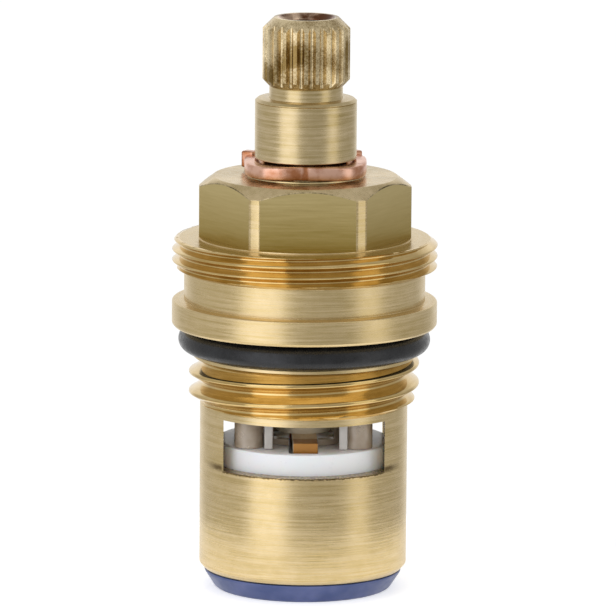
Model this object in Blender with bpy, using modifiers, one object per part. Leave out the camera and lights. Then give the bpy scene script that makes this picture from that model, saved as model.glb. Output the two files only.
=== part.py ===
"""Quarter-turn ceramic disc tap cartridge, at rest with the valve closed.

Z runs up the spindle from the lowest face of the seat seal. The two outlet windows face front and back
along Y. The spindle turns a quarter turn anticlockwise, seen from above, to open the valve.
"""

from math import asin, cos, pi, radians, sin, sqrt, tan

import bmesh
import bpy
from mathutils import Matrix

MM = 0.001

# Facets round the pieces, from the widest to the narrowest
LARGE_FACETS = 60
SHAFT_FACETS = 48
RUBBER_FACETS = 48
HIDDEN_FACETS = 24
POST_FACETS = 16
RING_SECTION_FACETS = 8
TANG_END_FACETS = 4
THREAD_FACETS = 24
PORT_FACETS = 10
NOTCH_FACETS = 20
CLIP_FACETS = 30

# Clearances, and how far a cutter runs past what it cuts
SEAT_GAP = 0.05 * MM
RUNNING_GAP = 0.09 * MM
BORE_GAP = 0.15 * MM
OVERRUN = 1 * MM

# Brass body, outside, from the seal end up
SEAL_PROTRUSION = 1.7 * MM
BARREL_DIAMETER = 18.8 * MM
BARREL_WALL = 1.15 * MM
BARREL_CHAMFER = 0.65 * MM
TAP_THREAD_DIAMETER = 20.9 * MM
TAP_THREAD_DEPTH = 1.1 * MM
TAP_THREAD_PITCH = 25.4 * MM / 14
TAP_THREAD_HALF_ANGLE = radians(27.5)
TAP_THREAD_ROOT_STEP = 0.1 * MM
TAP_THREAD_CREST_FLAT = 0.35 * MM
TAP_THREAD_FIRST_CREST = 0.2 * MM
TAP_THREAD_OVER_WINDOW = 0.5 * MM
TAP_THREAD_LENGTH = 4.6 * MM
TAP_THREAD_LEAD = 0.95 * MM
TAP_THREAD_RUNOUT = 0.55 * MM
FLANGE_LIP = 0.05 * MM
FLANGE_THICKNESS = 2.3 * MM
FLANGE_RIM_WIDTH = 0.55 * MM
RING_RECESS = 0.1 * MM
EDGE_BREAK = 0.15 * MM
WAIST_DEPTH = 1.05 * MM
WAIST_LENGTH = 3.0 * MM
COVER_THREAD_DIAMETER = 24.1 * MM
COVER_THREAD_LENGTH = 3.0 * MM
COVER_THREAD_LEAD = 0.6 * MM

# Hexagon for the spanner, with corners turned down to a cylinder
HEX_ACROSS_FLATS = 17.2 * MM
HEX_CORNER_TRIM = 0.28 * MM
HEX_HEIGHT = 5.7 * MM
HEX_FOOT_COLLAR = 0.25 * MM
HEX_CHAMFER_WIDTH = 1.35 * MM
HEX_CHAMFER_ANGLE = radians(30)
HEX_TURN = radians(2.3)
BOSS_WIDTH = 0.68 * MM
BOSS_HEIGHT = 0.2 * MM
BONNET_CHAMFER = 0.25 * MM

# Windows in the barrel, and the chamber over the discs
WINDOW_INSET = 2.15 * MM
WINDOW_HEIGHT = 4.8 * MM
DISC_SHOWING = 2.1 * MM
LINTEL = 1.3 * MM
POCKET_DEPTH = 3.5 * MM

# Quarter-turn stop: a block in the body, and a notched rim on the spindle
QUARTER_TURN = radians(90)
STOP_HALF_ANGLE = radians(10)
STOP_SLACK = radians(1)
STOP_DEPTH = 0.8 * MM
STOP_FROM_CHAMBER = 0.2 * MM
STOP_BEARING = radians(90)

# Seat seal and the stiff ring inside it
SEAL_HEIGHT = 6.9 * MM
SEAL_LIP_INSET = 0.75 * MM
SEAL_FACE_INSET = 1.05 * MM
SEAL_FOOT_ROUND = 0.55 * MM
SEAL_WALL = 2.8 * MM
SEAL_LEDGE = 0.8 * MM
SUPPORT_WALL = 0.65 * MM

# Ceramic discs
DISC_THICKNESS = 3.45 * MM
DISC_CHAMFER = 0.25 * MM
PORT_INNER_RADIUS = 2.6 * MM
PORT_WIDTH = 3.0 * MM
PORT_HALF_ANGLE = radians(30)
KEY_WIDTH = 3.0 * MM
KEY_REACH = 0.65 * MM
KEY_INSET = 0.3 * MM

# Spindle
SPLINE_TEETH = 24
SPLINE_DIAMETER = 7.95 * MM
SPLINE_TOOTH_DEPTH = 0.43 * MM
SPLINE_GROOVE_MOUTH = 0.62 * MM
SPLINE_GROOVE_FLOOR = 0.26 * MM
SPLINE_LENGTH = 6.3 * MM
SPLINE_TOP_LAND = 0.35 * MM
SPLINE_TOP_CHAMFER = 1.0 * MM
SPLINE_FOOT_CHAMFER = 0.65 * MM
SCREW_HOLE_DIAMETER = 4.2 * MM
SCREW_HOLE_DEPTH = 9.0 * MM
DRILL_POINT_ANGLE = radians(30)
COUNTERSINK_WIDTH = 0.5 * MM
NECK_INSET = 0.2 * MM
NECK_LENGTH = 1.1 * MM
COLLAR_DIAMETER = 9.27 * MM
COLLAR_LENGTH = 5.5 * MM
COLLAR_CHAMFER = 0.25 * MM
CLIP_GROOVE_DEPTH = 0.785 * MM
CLIP_GROOVE_SINK = 0.25 * MM
RIM_THICKNESS = 2.2 * MM
CORE_DIAMETER = 6.6 * MM
CORE_LIFT = 1.0 * MM
TANG_WIDTH = 2.45 * MM
TANG_END_INSET = 1.3 * MM
TANG_RISE = 1.4 * MM
TANG_DEPTH = 1.1 * MM
TANG_GAP = 0.1 * MM

# Retaining clip
CLIP_HEIGHT = 1.35 * MM
CLIP_BAND_WIDTH = 1.7 * MM
CLIP_EDGE_ROUND = 0.3 * MM
CLIP_OPENING_FROM = radians(43)
CLIP_OPENING_TO = radians(147)
CLIP_EAR_WIDTH = 1.1 * MM
CLIP_EAR_REACH = 0.45 * MM
CLIP_EAR_RISE = 0.5 * MM

# O-rings and the thrust washer
BODY_RING_SECTION = 2.08 * MM
SPINDLE_RING_SECTION = 1.15 * MM
SPINDLE_RING_GROOVE = 1.6 * MM
SPINDLE_RING_DROPS = (6.0 * MM, 10.0 * MM)
WASHER_THICKNESS = 0.5 * MM
WASHER_WIDTH = 1.525 * MM

# Silencer cage that stands on the moving disc
CAGE_RING_HEIGHT = 0.8 * MM
CAGE_RING_INSET = 0.1 * MM
CAGE_SLEEVE_WALL = 0.9 * MM
CAGE_POST_DIAMETER = 2.6 * MM
CAGE_POST_INSET = 0.05 * MM
CAGE_POST_ANGLE = radians(48.5)
CAGE_RIB_WIDTH = 0.9 * MM
CAGE_RIB_DEPTH = 1.0 * MM
CAGE_RIB_INSET = 1.6 * MM
CAGE_RIB_ANGLE = radians(31)
CAGE_SIDE_OPENING = 5.2 * MM

# Levels inside, from the seal up
fixed_disc_floor = SEAL_HEIGHT + SEAT_GAP
fixed_disc_top = fixed_disc_floor + DISC_THICKNESS
moving_disc_floor = fixed_disc_top + SEAT_GAP
moving_disc_top = moving_disc_floor + DISC_THICKNESS
window_sill = moving_disc_top - DISC_SHOWING
window_top = window_sill + WINDOW_HEIGHT
chamber_top = window_top + LINTEL
shoulder = chamber_top + POCKET_DEPTH
rim_top = shoulder - WASHER_THICKNESS - 2 * SEAT_GAP
rim_underside = rim_top - RIM_THICKNESS

# Levels outside, from the seal up
barrel_foot = SEAL_PROTRUSION
thread_start = window_top + TAP_THREAD_OVER_WINDOW
thread_end = thread_start + TAP_THREAD_LENGTH
flange_underside = thread_end + BODY_RING_SECTION + 2 * SEAT_GAP + BORE_GAP
flange_top = flange_underside + FLANGE_THICKNESS
waist_top = flange_top + WAIST_LENGTH
cover_top = waist_top + COVER_THREAD_LENGTH
hex_top = cover_top + HEX_HEIGHT
boss_top = hex_top + BOSS_HEIGHT
clip_floor = boss_top + SEAT_GAP
collar_floor = clip_floor + CLIP_HEIGHT + SEAT_GAP
collar_top = collar_floor + COLLAR_LENGTH
spline_foot = collar_top + NECK_LENGTH
spindle_top = spline_foot + SPLINE_LENGTH

# Radii that one piece takes from another
barrel_radius = BARREL_DIAMETER / 2
bore_radius = barrel_radius - BARREL_WALL
disc_radius = bore_radius - BORE_GAP
journal_radius = COLLAR_DIAMETER / 2
bonnet_radius = journal_radius + RUNNING_GAP
clip_groove_radius = journal_radius - CLIP_GROOVE_DEPTH
washer_radius = bonnet_radius + WASHER_WIDTH
stop_radius = washer_radius + BORE_GAP
pocket_radius = stop_radius + STOP_DEPTH
cover_radius = COVER_THREAD_DIAMETER / 2
flange_radius = cover_radius + FLANGE_LIP
waist_radius = cover_radius - WAIST_DEPTH
hex_corner_radius = HEX_ACROSS_FLATS / sqrt(3) - HEX_CORNER_TRIM
spline_root_radius = SPLINE_DIAMETER / 2 - SPLINE_TOOTH_DEPTH
ring_land_radius = TAP_THREAD_DIAMETER / 2 - TAP_THREAD_DEPTH
rim_radius = pocket_radius - BORE_GAP - SEAT_GAP
tang_reach = disc_radius - TANG_END_INSET
key_radius = disc_radius + KEY_REACH
core_radius = CORE_DIAMETER / 2
cage_sleeve_radius = core_radius + BORE_GAP + SEAT_GAP
cage_ring_radius = disc_radius - CAGE_RING_INSET
seal_bore_radius = disc_radius - SEAL_WALL
support_radius = seal_bore_radius + SUPPORT_WALL


def clear_scene():
    for old in list(bpy.data.objects):
        bpy.data.objects.remove(old, do_unlink=True)


def new_collection(name):
    collection = bpy.data.collections.new(name)
    bpy.context.scene.collection.children.link(collection)
    return collection


clear_scene()
cartridge = new_collection("ceramic_disc_cartridge")
cutters = new_collection("cutters")


def material(name, colour, roughness, metallic=0.0):
    made = bpy.data.materials.new(name)
    made.use_nodes = True
    shader = made.node_tree.nodes["Principled BSDF"]
    shader.inputs["Base Color"].default_value = (*colour, 1.0)
    shader.inputs["Roughness"].default_value = roughness
    shader.inputs["Metallic"].default_value = metallic
    return made


def placed(name, mesh, collection):
    obj = bpy.data.objects.new(name, mesh)
    collection.objects.link(obj)
    if collection is cutters:
        obj.hide_render = True
        obj.display_type = "WIRE"
    return obj


def turned(name, profile, facets, collection=cartridge):
    """The (radius, height) profile turned about Z. A profile that starts off the axis is a closed ring."""
    mesh = bpy.data.meshes.new(name)
    edges = [(i, i + 1) for i in range(len(profile) - 1)]
    if profile[0][0] > 0:
        edges.append((len(profile) - 1, 0))
    mesh.from_pydata([(radius, 0, height) for radius, height in profile], edges, [])
    obj = placed(name, mesh, collection)
    screw = obj.modifiers.new("Turn", "SCREW")
    screw.steps = facets
    screw.render_steps = facets
    screw.use_merge_vertices = True
    screw.merge_threshold = 1e-6
    return obj


def from_bmesh(name, shape, collection):
    bmesh.ops.recalc_face_normals(shape, faces=shape.faces)
    mesh = bpy.data.meshes.new(name)
    shape.to_mesh(mesh)
    shape.free()
    return placed(name, mesh, collection)


def add_prism(shape, outline, low, high):
    """A flat outline pulled up from one height to another."""
    face = shape.faces.new([shape.verts.new((x, y, low)) for x, y in outline])
    pulled = bmesh.ops.extrude_face_region(shape, geom=[face])
    top = [v for v in pulled["geom"] if isinstance(v, bmesh.types.BMVert)]
    bmesh.ops.translate(shape, verts=top, vec=(0, 0, high - low))


def add_box(shape, low, high, turn=0.0):
    """A box between two corners, turned about Z."""
    middle = [(a + b) / 2 for a, b in zip(low, high)]
    size = [b - a for a, b in zip(low, high)]
    place = Matrix.Rotation(turn, 4, "Z") @ Matrix.Translation(middle) @ Matrix.Diagonal((*size, 1))
    bmesh.ops.create_cube(shape, size=1, matrix=place)


def add_cylinder(shape, radius, bearing, distance, low, high):
    """An upright cylinder at a bearing and distance from the axis."""
    place = Matrix.Rotation(bearing, 4, "Z") @ Matrix.Translation((distance, 0, (low + high) / 2))
    bmesh.ops.create_cone(
        shape,
        cap_ends=True,
        segments=POST_FACETS,
        radius1=radius,
        radius2=radius,
        depth=high - low,
        matrix=place,
    )


def arc(radius, start, end, pieces):
    step = (end - start) / pieces
    return [(radius * cos(start + i * step), radius * sin(start + i * step)) for i in range(pieces + 1)]


def sector(inner, outer, start, end, pieces=PORT_FACETS):
    """The outline of a piece of a ring between two bearings."""
    return arc(outer, start, end, pieces) + arc(inner, end, start, pieces)


def join(part, other):
    step = part.modifiers.new("Join " + other.name, "BOOLEAN")
    step.operation = "UNION"
    step.object = other


def cut(part, cutter):
    step = part.modifiers.new("Cut " + cutter.name, "BOOLEAN")
    step.operation = "DIFFERENCE"
    step.object = cutter


def settle(part, finish, parent=None):
    """Applies the modifiers, shades the round faces smooth and gives the piece its material."""
    graph = bpy.context.evaluated_depsgraph_get()
    mesh = bpy.data.meshes.new_from_object(part.evaluated_get(graph))
    part.modifiers.clear()
    part.data = mesh
    mesh.name = part.name
    mesh.shade_smooth()
    mesh.set_sharp_from_angle(angle=radians(30))
    mesh.materials.clear()
    mesh.materials.append(finish)
    part.parent = parent


brass = material("brass", (0.69, 0.55, 0.29), 0.3, 1.0)
spindle_brass = material("spindle_brass", (0.66, 0.52, 0.27), 0.3, 1.0)
copper = material("clip_bronze", (0.78, 0.45, 0.31), 0.25, 1.0)
black_rubber = material("black_rubber", (0.02, 0.02, 0.02), 0.55)
blue_rubber = material("blue_rubber", (0.09, 0.12, 0.42), 0.45)
white_ceramic = material("white_ceramic", (0.88, 0.88, 0.87), 0.15)
clear_nylon = material("clear_nylon", (0.62, 0.58, 0.52), 0.35)
white_nylon = material("white_nylon", (0.8, 0.8, 0.78), 0.5)

# The spindle and all that turns with it hang from this empty on the joint's axis
spindle_axis = bpy.data.objects.new("spindle_axis", None)
cartridge.objects.link(spindle_axis)


# Brass body
def turned_body():
    boss = bonnet_radius + BOSS_WIDTH
    thread = TAP_THREAD_DIAMETER / 2
    outside = [
        (bonnet_radius + BONNET_CHAMFER, boss_top),
        (boss, boss_top),
        (boss, hex_top),
        (hex_corner_radius - HEX_CHAMFER_WIDTH, hex_top),
        (hex_corner_radius, hex_top - HEX_CHAMFER_WIDTH * tan(HEX_CHAMFER_ANGLE)),
        (hex_corner_radius, cover_top),
        (cover_radius - COVER_THREAD_LEAD, cover_top),
        (cover_radius, cover_top - COVER_THREAD_LEAD),
        (cover_radius, waist_top + EDGE_BREAK),
        (cover_radius - EDGE_BREAK, waist_top),
        (waist_radius, waist_top),
        (waist_radius, flange_top),
        (flange_radius - EDGE_BREAK, flange_top),
        (flange_radius, flange_top - EDGE_BREAK),
        (flange_radius, flange_underside + EDGE_BREAK),
        (flange_radius - EDGE_BREAK, flange_underside),
        (flange_radius - FLANGE_RIM_WIDTH, flange_underside),
        (flange_radius - FLANGE_RIM_WIDTH, flange_underside + RING_RECESS),
        (ring_land_radius, flange_underside + RING_RECESS),
        (ring_land_radius, thread_end),
        (thread - TAP_THREAD_RUNOUT, thread_end),
        (thread, thread_end - TAP_THREAD_RUNOUT),
        (thread, thread_start + TAP_THREAD_LEAD),
        (barrel_radius, thread_start),
        (barrel_radius, barrel_foot + BARREL_CHAMFER),
        (barrel_radius - BARREL_CHAMFER, barrel_foot),
    ]
    inside = [
        (bore_radius + EDGE_BREAK, barrel_foot),
        (bore_radius, barrel_foot + EDGE_BREAK),
        (bore_radius, chamber_top),
        (pocket_radius, chamber_top),
        (pocket_radius, shoulder),
        (bonnet_radius, shoulder),
        (bonnet_radius, boss_top - BONNET_CHAMFER),
    ]
    return turned("housing", outside + inside, LARGE_FACETS)


def thread_groove():
    """The groove between the tap thread's crests, wound right-handed and run out past both ends."""
    crest = TAP_THREAD_DIAMETER / 2
    root = barrel_radius + TAP_THREAD_ROOT_STEP
    beyond = crest + TAP_THREAD_ROOT_STEP
    half_mouth = (TAP_THREAD_PITCH - TAP_THREAD_CREST_FLAT) / 2
    half_floor = half_mouth - (crest - root) * tan(TAP_THREAD_HALF_ANGLE)
    half_beyond = half_mouth + (beyond - crest) * tan(TAP_THREAD_HALF_ANGLE)
    level = thread_start + TAP_THREAD_FIRST_CREST - TAP_THREAD_PITCH / 2
    turns = TAP_THREAD_LENGTH / TAP_THREAD_PITCH + 1
    shape = bmesh.new()
    section = [(root, -half_floor), (beyond, -half_beyond), (beyond, half_beyond), (root, half_floor)]
    face = shape.faces.new([shape.verts.new((radius, 0, level + rise)) for radius, rise in section])
    steps = round(turns * THREAD_FACETS)
    bmesh.ops.spin(
        shape,
        geom=[face],
        axis=(0, 0, 1),
        cent=(0, 0, 0),
        dvec=(0, 0, TAP_THREAD_PITCH / THREAD_FACETS),
        angle=2 * pi * steps / THREAD_FACETS,
        steps=steps,
        use_merge=False,
        use_duplicate=False,
    )
    return from_bmesh("thread_groove", shape, cutters)


def hex_flats():
    """All that lies outside the hexagon, over its foot collar."""
    low = cover_top + HEX_FOOT_COLLAR
    high = boss_top + OVERRUN
    beyond = hex_corner_radius + OVERRUN
    waste = turned("hex_flats", [(0, high), (beyond, high), (beyond, low), (0, low)], LARGE_FACETS, cutters)
    kept = bmesh.new()
    place = Matrix.Translation((0, 0, (low + high) / 2)) @ Matrix.Rotation(HEX_TURN, 4, "Z")
    bmesh.ops.create_cone(
        kept,
        cap_ends=True,
        segments=6,
        radius1=HEX_ACROSS_FLATS / sqrt(3),
        radius2=HEX_ACROSS_FLATS / sqrt(3),
        depth=high - low + 2 * OVERRUN,
        matrix=place @ Matrix.Rotation(radians(30), 4, "Z"),
    )
    cut(waste, from_bmesh("hex_prism", kept, cutters))
    return waste


def outlet_windows():
    shape = bmesh.new()
    half = barrel_radius - WINDOW_INSET
    add_box(shape, (-half, -BARREL_DIAMETER, window_sill), (half, BARREL_DIAMETER, window_top))
    return from_bmesh("outlet_windows", shape, cutters)


def disc_keyways():
    """Two keyways in the bore, open at its foot, for the fixed disc's ears."""
    shape = bmesh.new()
    reach = key_radius + SEAT_GAP
    half = KEY_WIDTH / 2 + SEAT_GAP
    add_box(shape, (-reach, -half, barrel_foot - OVERRUN), (reach, half, fixed_disc_top + SEAT_GAP))
    return from_bmesh("disc_keyways", shape, cutters)


def stop_block():
    shape = bmesh.new()
    start = STOP_BEARING - STOP_HALF_ANGLE
    end = STOP_BEARING + STOP_HALF_ANGLE
    outline = sector(stop_radius, pocket_radius + BARREL_WALL / 2, start, end)
    add_prism(shape, outline, chamber_top + STOP_FROM_CHAMBER, shoulder + BARREL_WALL / 2)
    return from_bmesh("stop_block", shape, cutters)


housing = turned_body()
cut(housing, thread_groove())
cut(housing, hex_flats())
cut(housing, outlet_windows())
cut(housing, disc_keyways())
join(housing, stop_block())
settle(housing, brass)


# Spindle
def spindle_ring_level(drop):
    return boss_top - drop


def turned_spindle():
    hole = SCREW_HOLE_DIAMETER / 2
    sink = hole + COUNTERSINK_WIDTH
    spline = SPLINE_DIAMETER / 2
    neck = spline_root_radius - NECK_INSET
    profile = [
        (0, spindle_top - SCREW_HOLE_DEPTH - hole * tan(DRILL_POINT_ANGLE)),
        (hole, spindle_top - SCREW_HOLE_DEPTH),
        (hole, spindle_top - COUNTERSINK_WIDTH),
        (sink, spindle_top),
        (sink + SPLINE_TOP_LAND, spindle_top),
        (spline, spindle_top - SPLINE_TOP_CHAMFER),
        (spline, spline_foot + SPLINE_FOOT_CHAMFER),
        (neck, spline_foot),
        (neck, collar_top),
        (journal_radius - COLLAR_CHAMFER, collar_top),
        (journal_radius, collar_top - COLLAR_CHAMFER),
        (journal_radius, collar_floor),
        (clip_groove_radius, collar_floor),
        (clip_groove_radius, boss_top - CLIP_GROOVE_SINK),
        (journal_radius, boss_top - CLIP_GROOVE_SINK),
    ]
    groove = bonnet_radius - SPINDLE_RING_SECTION - 2 * SEAT_GAP
    for drop in SPINDLE_RING_DROPS:
        middle = spindle_ring_level(drop)
        profile += [
            (journal_radius, middle + SPINDLE_RING_GROOVE / 2),
            (groove, middle + SPINDLE_RING_GROOVE / 2),
            (groove, middle - SPINDLE_RING_GROOVE / 2),
            (journal_radius, middle - SPINDLE_RING_GROOVE / 2),
        ]
    profile += [
        (journal_radius, rim_top),
        (rim_radius, rim_top),
        (rim_radius, rim_underside),
        (core_radius, rim_underside),
        (core_radius, moving_disc_top + CORE_LIFT),
        (0, moving_disc_top + CORE_LIFT),
    ]
    return turned("spindle", profile, SHAFT_FACETS)


def drive_tang():
    """A flat blade across the foot of the spindle, its ends on one circle."""
    shape = bmesh.new()
    swing = asin(TANG_WIDTH / 2 / tang_reach)
    front = arc(tang_reach, -pi / 2 - swing, -pi / 2 + swing, TANG_END_FACETS)
    back = arc(tang_reach, pi / 2 - swing, pi / 2 + swing, TANG_END_FACETS)
    add_prism(shape, front + back, moving_disc_top - TANG_DEPTH, moving_disc_top + TANG_RISE)
    return from_bmesh("drive_tang", shape, cutters)


def stop_notch():
    """The part of the rim that passes the stop block through the quarter turn."""
    shape = bmesh.new()
    end = STOP_BEARING + STOP_HALF_ANGLE + STOP_SLACK
    start = end - QUARTER_TURN - 2 * (STOP_HALF_ANGLE + STOP_SLACK)
    outline = sector(washer_radius, pocket_radius + BARREL_WALL, start, end, NOTCH_FACETS)
    add_prism(shape, outline, rim_underside - OVERRUN, rim_top + WASHER_THICKNESS)
    return from_bmesh("stop_notch", shape, cutters)


def spline_grooves():
    """Straight grooves between the teeth, wider at the mouth, run out past both ends of the spline."""
    shape = bmesh.new()
    root = spline_root_radius
    beyond = SPLINE_DIAMETER / 2 + OVERRUN / 2
    flare = (SPLINE_GROOVE_MOUTH - SPLINE_GROOVE_FLOOR) / 2 / SPLINE_TOOTH_DEPTH
    mouth = SPLINE_GROOVE_FLOOR / 2 + flare * (beyond - root)
    low = collar_top + NECK_LENGTH / 2
    for tooth in range(SPLINE_TEETH):
        turn = 2 * pi * (tooth + 0.5) / SPLINE_TEETH
        section = [
            (root, -SPLINE_GROOVE_FLOOR / 2),
            (beyond, -mouth),
            (beyond, mouth),
            (root, SPLINE_GROOVE_FLOOR / 2),
        ]
        outline = [(x * cos(turn) - y * sin(turn), x * sin(turn) + y * cos(turn)) for x, y in section]
        add_prism(shape, outline, low, spindle_top + OVERRUN)
    return from_bmesh("spline_grooves", shape, cutters)


spindle = turned_spindle()
join(spindle, drive_tang())
cut(spindle, stop_notch())
cut(spindle, spline_grooves())
settle(spindle, spindle_brass, spindle_axis)


# Retaining clip, open at the back, with its two ends turned up
def retaining_clip():
    inner = clip_groove_radius + BORE_GAP
    outer = inner + CLIP_BAND_WIDTH
    band = bmesh.new()
    outline = sector(inner, outer, CLIP_OPENING_TO, 2 * pi + CLIP_OPENING_FROM, CLIP_FACETS)
    add_prism(band, outline, clip_floor, clip_floor + CLIP_HEIGHT)
    clip = from_bmesh("retaining_clip", band, cartridge)
    soften = clip.modifiers.new("Round the edges", "BEVEL")
    soften.width = CLIP_EDGE_ROUND
    soften.segments = 2
    soften.limit_method = "ANGLE"
    soften.angle_limit = radians(40)
    ears = bmesh.new()
    ear_inner = journal_radius + 2 * BORE_GAP
    ear_turn = CLIP_EAR_WIDTH / 2 / outer
    for bearing in (CLIP_OPENING_TO + ear_turn, CLIP_OPENING_FROM - ear_turn):
        low = (ear_inner, -CLIP_EAR_WIDTH / 2, clip_floor + CLIP_EDGE_ROUND)
        high = (outer + CLIP_EAR_REACH, CLIP_EAR_WIDTH / 2, clip_floor + CLIP_HEIGHT + CLIP_EAR_RISE)
        add_box(ears, low, high, bearing)
    join(clip, from_bmesh("clip_ears", ears, cutters))
    return clip


settle(retaining_clip(), copper, spindle_axis)


# O-rings
def o_ring(name, middle_radius, section, level, facets):
    half = section / 2
    step = -2 * pi / RING_SECTION_FACETS
    profile = [
        (middle_radius + half * cos(i * step), level + half * sin(i * step))
        for i in range(RING_SECTION_FACETS)
    ]
    return turned(name, profile, facets)


body_ring_middle = ring_land_radius + SEAT_GAP + BODY_RING_SECTION / 2
body_ring_level = flange_underside - SEAT_GAP - BODY_RING_SECTION / 2
settle(
    o_ring("body_o_ring", body_ring_middle, BODY_RING_SECTION, body_ring_level, RUBBER_FACETS),
    black_rubber,
)
for place, ring_drop in zip(("upper", "lower"), SPINDLE_RING_DROPS):
    ring = o_ring(
        f"spindle_o_ring_{place}",
        bonnet_radius - SEAT_GAP - SPINDLE_RING_SECTION / 2,
        SPINDLE_RING_SECTION,
        spindle_ring_level(ring_drop),
        HIDDEN_FACETS,
    )
    settle(ring, black_rubber, spindle_axis)


# Thrust washer between the spindle's rim and the shoulder in the body
def thrust_washer():
    floor = rim_top + SEAT_GAP
    top = floor + WASHER_THICKNESS
    section = [
        (washer_radius, top),
        (washer_radius, floor),
        (bonnet_radius, floor),
        (bonnet_radius, top),
    ]
    return turned("thrust_washer", section, HIDDEN_FACETS)


settle(thrust_washer(), white_nylon, spindle_axis)


# Silencer cage: a slotted ring, a split sleeve, four posts and four ribs, all standing on the moving disc
def silencer_cage():
    floor = moving_disc_top + SEAT_GAP
    top = chamber_top - 2 * SEAT_GAP
    ring_floor = top - CAGE_RING_HEIGHT
    sleeve = cage_sleeve_radius + CAGE_SLEEVE_WALL
    cage = turned(
        "silencer_cage",
        [
            (cage_ring_radius, top),
            (cage_ring_radius, ring_floor),
            (sleeve, ring_floor),
            (sleeve, floor),
            (cage_sleeve_radius, floor),
            (cage_sleeve_radius, top),
        ],
        SHAFT_FACETS,
    )
    posts = bmesh.new()
    ribs = bmesh.new()
    upright_top = ring_floor + CAGE_RING_HEIGHT / 2
    post_distance = cage_ring_radius - CAGE_POST_DIAMETER / 2 - CAGE_POST_INSET
    rib_distance = cage_ring_radius - CAGE_RIB_INSET
    low = (rib_distance - CAGE_RIB_DEPTH / 2, -CAGE_RIB_WIDTH / 2, floor)
    high = (rib_distance + CAGE_RIB_DEPTH / 2, CAGE_RIB_WIDTH / 2, upright_top)
    for side in (pi / 2, -pi / 2):
        for lean in (-1, 1):
            post = side + lean * CAGE_POST_ANGLE
            add_cylinder(posts, CAGE_POST_DIAMETER / 2, post, post_distance, floor, upright_top)
            add_box(ribs, low, high, side + lean * CAGE_RIB_ANGLE)
    join(cage, from_bmesh("cage_posts", posts, cutters))
    join(cage, from_bmesh("cage_ribs", ribs, cutters))
    slots = bmesh.new()
    half_slot = TANG_WIDTH / 2 + TANG_GAP
    slot_end = tang_reach + BORE_GAP
    add_box(slots, (-half_slot, -slot_end, floor - OVERRUN), (half_slot, slot_end, top + OVERRUN))
    cut(cage, from_bmesh("cage_tang_slot", slots, cutters))
    sides = bmesh.new()
    half_side = CAGE_SIDE_OPENING / 2
    beyond = sleeve + SEAT_GAP
    add_box(sides, (-beyond, -half_side, floor - OVERRUN), (beyond, half_side, ring_floor - BORE_GAP))
    cut(cage, from_bmesh("cage_side_openings", sides, cutters))
    return cage


settle(silencer_cage(), clear_nylon, spindle_axis)


# Ceramic discs, each with two ports, a quarter turn apart while the valve is closed
def disc(name, floor, port_bearing):
    top = floor + DISC_THICKNESS
    profile = [
        (0, top),
        (disc_radius - DISC_CHAMFER, top),
        (disc_radius, top - DISC_CHAMFER),
        (disc_radius, floor + DISC_CHAMFER),
        (disc_radius - DISC_CHAMFER, floor),
        (0, floor),
    ]
    made = turned(name, profile, LARGE_FACETS)
    ports = bmesh.new()
    for bearing in (port_bearing, port_bearing + pi):
        outline = sector(
            PORT_INNER_RADIUS,
            PORT_INNER_RADIUS + PORT_WIDTH,
            bearing - PORT_HALF_ANGLE,
            bearing + PORT_HALF_ANGLE,
        )
        add_prism(ports, outline, floor - OVERRUN, top + OVERRUN)
    cut(made, from_bmesh(name + "_ports", ports, cutters))
    return made


moving_disc = disc("moving_disc", moving_disc_floor, 0.0)
tang_slot = bmesh.new()
slot_half_width = TANG_WIDTH / 2 + TANG_GAP
slot_half_length = tang_reach + TANG_GAP
slot_floor = moving_disc_top - TANG_DEPTH - TANG_GAP
add_box(
    tang_slot,
    (-slot_half_width, -slot_half_length, slot_floor),
    (slot_half_width, slot_half_length, moving_disc_top + OVERRUN),
)
cut(moving_disc, from_bmesh("disc_tang_slot", tang_slot, cutters))
settle(moving_disc, white_ceramic, spindle_axis)

fixed_disc = disc("fixed_disc", fixed_disc_floor, pi / 2)
ears = bmesh.new()
for bearing in (0.0, pi):
    add_box(
        ears,
        (disc_radius - OVERRUN, -KEY_WIDTH / 2, fixed_disc_floor + KEY_INSET),
        (key_radius, KEY_WIDTH / 2, fixed_disc_top - KEY_INSET),
        bearing,
    )
join(fixed_disc, from_bmesh("disc_ears", ears, cutters))
settle(fixed_disc, white_ceramic)


# Seat seal, with a lip under the barrel, and its support ring
def seat_seal():
    lip = barrel_radius - SEAL_LIP_INSET
    face = lip - SEAL_FACE_INSET
    body = disc_radius
    bore = seal_bore_radius
    counterbore = support_radius + SEAT_GAP
    lip_top = barrel_foot - SEAT_GAP
    foot = [
        (face + SEAL_FOOT_ROUND * sin(turn), SEAL_FOOT_ROUND * (1 - cos(turn)))
        for turn in (radians(65), radians(45), radians(22), 0.0)
    ]
    profile = [(body, SEAL_HEIGHT), (body, lip_top), (lip, lip_top)]
    profile += foot
    profile += [(bore, 0), (bore, SEAL_LEDGE), (counterbore, SEAL_LEDGE), (counterbore, SEAL_HEIGHT)]
    return turned("seat_seal", profile, RUBBER_FACETS)


def support_ring():
    floor = SEAL_LEDGE + SEAT_GAP
    top = SEAL_HEIGHT - SEAT_GAP
    section = [
        (support_radius, top),
        (support_radius, floor),
        (seal_bore_radius, floor),
        (seal_bore_radius, top),
    ]
    return turned("seal_support_ring", section, SHAFT_FACETS)


settle(seat_seal(), blue_rubber)
settle(support_ring(), white_nylon)
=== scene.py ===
"""A quarter-turn ceramic disc tap cartridge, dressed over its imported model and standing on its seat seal."""

from math import atan2, cos, exp, hypot, pi, radians, sin, sqrt

import bmesh
import bpy
from mathutils import Matrix


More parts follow.
